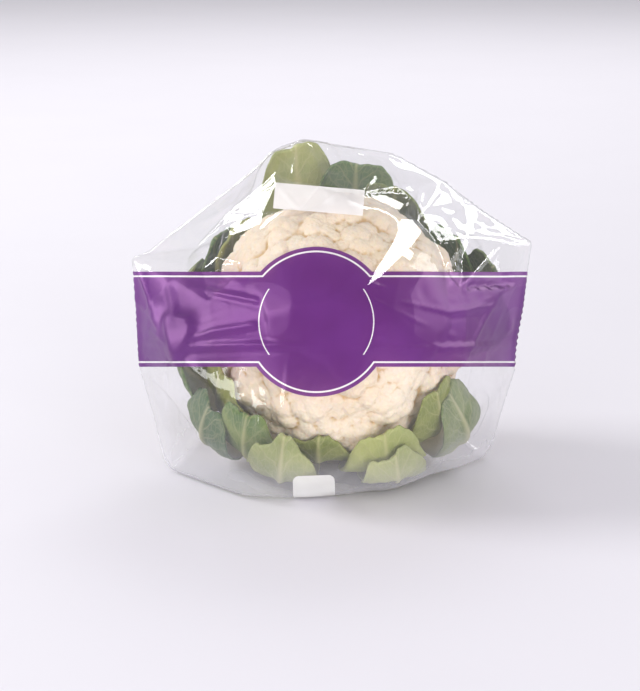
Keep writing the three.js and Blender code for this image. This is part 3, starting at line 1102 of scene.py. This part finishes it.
def inside_patch(shader, across, up, place, half, turn, corner):
    """How far inside a box with rounded corners a place is, negative outside."""
    cosine, sine = math.cos(math.radians(turn)), math.sin(math.radians(turn))
    beside = shader.math("SUBTRACT", across, place[0])
    above = shader.math("SUBTRACT", up, place[1])
    along = shader.math("MULTIPLY_ADD", beside, cosine, shader.math("MULTIPLY", above, sine))
    athwart = shader.math("MULTIPLY_ADD", beside, -sine, shader.math("MULTIPLY", above, cosine))
    past = []
    for value, reach in zip((along, athwart), half):
        over = shader.math("SUBTRACT", shader.math("ABSOLUTE", value), reach - corner)
        past.append(shader.math("MAXIMUM", over, 0.0))
    return shader.math("SUBTRACT", corner, shader.hypotenuse(*past))


def printed_places(shader):
    """Where there is ink on the film, and where that ink is white."""
    place = shader.add("SeparateXYZ", {"Vector": shader.uv("print")})
    across, up = place.outputs["X"], place.outputs["Y"]
    front = shader.math("GREATER_THAN", shader.attribute("front"), 0.5)
    from_band = shader.math("ABSOLUTE", shader.math("SUBTRACT", up, BAND_MIDDLE))
    in_band = shader.math("SUBTRACT", BAND_HALF, from_band)
    beside = shader.math("SUBTRACT", across, ROUNDEL_PLACE[0])
    above = shader.math("SUBTRACT", up, ROUNDEL_PLACE[1])
    from_middle = shader.hypotenuse(beside, above)
    in_roundel = shader.math("SUBTRACT", ROUNDEL_RADIUS, from_middle)
    inside = shader.math("MAXIMUM", in_band, in_roundel)
    keyline = shader.math("COMPARE", inside, KEYLINE_INSET + KEYLINE_WIDTH / 2, KEYLINE_WIDTH / 2)
    ring = shader.math("COMPARE", from_middle, RING_RADIUS, RING_WIDTH / 2)
    arcs = shader.math("MULTIPLY", ring, shader.math("COMPARE", above, 0.0, RING_REACH))
    code, foot = (inside_patch(shader, across, up, **patch) for patch in (CODE_PATCH, FOOT_PATCH))
    patch = shader.math("GREATER_THAN", shader.math("MAXIMUM", code, foot), 0.0)
    white = shader.math("MAXIMUM", shader.math("MAXIMUM", keyline, arcs), patch)
    ink = shader.math("MAXIMUM", shader.math("GREATER_THAN", inside, 0.0), patch)
    return shader.math("MULTIPLY", ink, front), white


def tilted_facets(shader, most):
    """The surface normal, leaning a little another way in each of many crinkled facets."""
    place = shader.place()
    bend = shader.add("TexNoise", {"Vector": place, "Scale": FACET_BEND_SCALE, "Detail": 1})
    bent = shader.vector("MULTIPLY_ADD", bend.outputs["Color"], (FACET_BEND,) * 3, place)
    cells = shader.add("TexVoronoi", {"Vector": bent, "Scale": FACET_SCALE})
    lean = shader.vector("SUBTRACT", cells.outputs["Color"], (0.5, 0.5, 0.5))
    normal = shader.add("NewGeometry").outputs["Normal"]
    return shader.vector("NORMALIZE", shader.vector("MULTIPLY_ADD", lean, (most,) * 3, normal))


def clear_film(shader):
    """Film that mirrors more at a glance, with a haze where it turns away or lies in layers; where it lies
    in layers that haze is partly a painted reflection of the bright floor.
    """
    facing = shader.add("LayerWeight", {"Blend": 0.5}).outputs["Facing"]
    least_gloss, more_gloss = FILM_GLOSS
    gloss = shader.math("MULTIPLY_ADD", shader.math("POWER", facing, 5.0), more_gloss, least_gloss)
    shine = shader.add("BsdfGlossy", {"Roughness": 0.06, "Normal": tilted_facets(shader, FILM_LEAN)})
    sheer = shader.blend(gloss, shader.add("BsdfTransparent"), shine)
    least_haze, more_haze = FILM_HAZE
    haze = shader.math("MULTIPLY_ADD", shader.math("POWER", facing, 2.0), more_haze, least_haze)
    # Painted reflection: extra white haze where the film lies in layers stands in partly for the bright
    # floor mirrored there, and partly for the layers' own haze
    haze = shader.math("MULTIPLY_ADD", shader.attribute("layers"), LAYERED_HAZE_AND_FLOOR_REFLECTION, haze)
    return shader.blend(haze, sheer, shader.add("BsdfDiffuse", {"Color": linear(FILM_VEIL)}))


def printed_film(shader, white):
    """Glossy ink that lets a little light through."""
    tone = shader.noise(30, 2)
    purple = shader.mix(shader.ramp(tone, 0.3, 0.7), *map(linear, INK))
    tint = shader.mix(white, INK_TINT, NO_TINT)
    body = shader.add("BsdfPrincipled", {
        "Base Color": shader.mix(white, purple, linear(WHITE_PRINT)),
        "Roughness": shader.math("MULTIPLY_ADD", tone, 0.1, 0.27),
        "Specular IOR Level": 1.0,
        "Specular Tint": tint,
        "Normal": tilted_facets(shader, PRINT_LEAN),
    })
    glow_color = shader.mix(white, linear(INK_GLOW), linear(WHITE_GLOW))
    glowing = shader.blend(PRINT_GLOW, body, shader.add("BsdfTranslucent", {"Color": glow_color}))
    return shader.blend(PRINT_CLEAR, glowing, shader.add("BsdfTransparent", {"Color": tint}))


def film_material():
    shader = Shader("film")
    ink, white = printed_places(shader)
    return shader.finish(shader.blend(ink, clear_film(shader), printed_film(shader, white)))


def tape_material():
    shader = Shader("tape")
    body = shader.add("BsdfPrincipled", {
        "Base Color": linear(TAPE_COLOR),
        "Roughness": shader.math("MULTIPLY_ADD", shader.noise(60, 2), 0.15, 0.22),
    })
    return shader.finish(shader.blend(TAPE_CLEAR, body, shader.add("BsdfTransparent")))


def floor_material():
    shader = Shader("floor")
    color = shader.mix(shader.noise(6, 2), *map(linear, FLOOR_COLORS))
    return shader.finish(shader.add("BsdfPrincipled", {
        "Base Color": color, "Roughness": 0.6, "Specular IOR Level": 0.2}))


# Stage
def build_stage():
    corners = np.array([[-1, -1, 0], [1, -1, 0], [1, 1, 0], [-1, 1, 0]]) * FLOOR_HALF
    floor = make_piece("floor", corners, [[0, 1, 2, 3]], smooth=False)
    floor.data.materials.append(floor_material())


def add_softbox(name, place, size, watts, reflected):
    light = bpy.data.lights.new(name, "AREA")
    light.shape = "RECTANGLE"
    light.size, light.size_y = size
    light.energy = watts
    lamp = bpy.data.objects.new(name, light)
    lamp.location = place
    lamp.visible_glossy = reflected
    lamp.visible_diffuse = not reflected
    aim = Vector(LAMP_AIM) - Vector(place)
    lamp.rotation_euler = aim.to_track_quat("-Z", "Y").to_euler()
    bpy.context.scene.collection.objects.link(lamp)


def light_scene():
    for name, lamp in LIGHTING.items():
        add_softbox(name, *lamp, reflected=False)
    for name, lamp in REFLECTED.items():
        add_softbox(name, *lamp, reflected=True)
    world = bpy.data.worlds.new("studio")
    world.use_nodes = True
    background = world.node_tree.nodes["Background"]
    background.inputs["Color"].default_value = WORLD_COLOR
    background.inputs["Strength"].default_value = WORLD_LEVEL
    bpy.context.scene.world = world
    bpy.context.scene.view_settings.view_transform = "Standard"


place_camera()
leaf_looks = {whorl: leaf_material("leaf_" + whorl, **colors) for whorl, colors in LEAF_COLORS.items()}
head = [build_curd(curd_material()), build_stalk(stalk_material())]
for number, leaf in enumerate(LEAVES, 1):
    head.append(build_leaf(number, leaf, leaf_looks[leaf[0]]))
film_look = film_material()
film_points, film_faces = build_film(head, film_look)
build_fold(film_points, film_faces, film_look)
build_layer("bag_flap", film_points, FLAP, film_look)
build_layer("bag_tape", film_points, TAPE, tape_material())
build_stage()
light_scene()
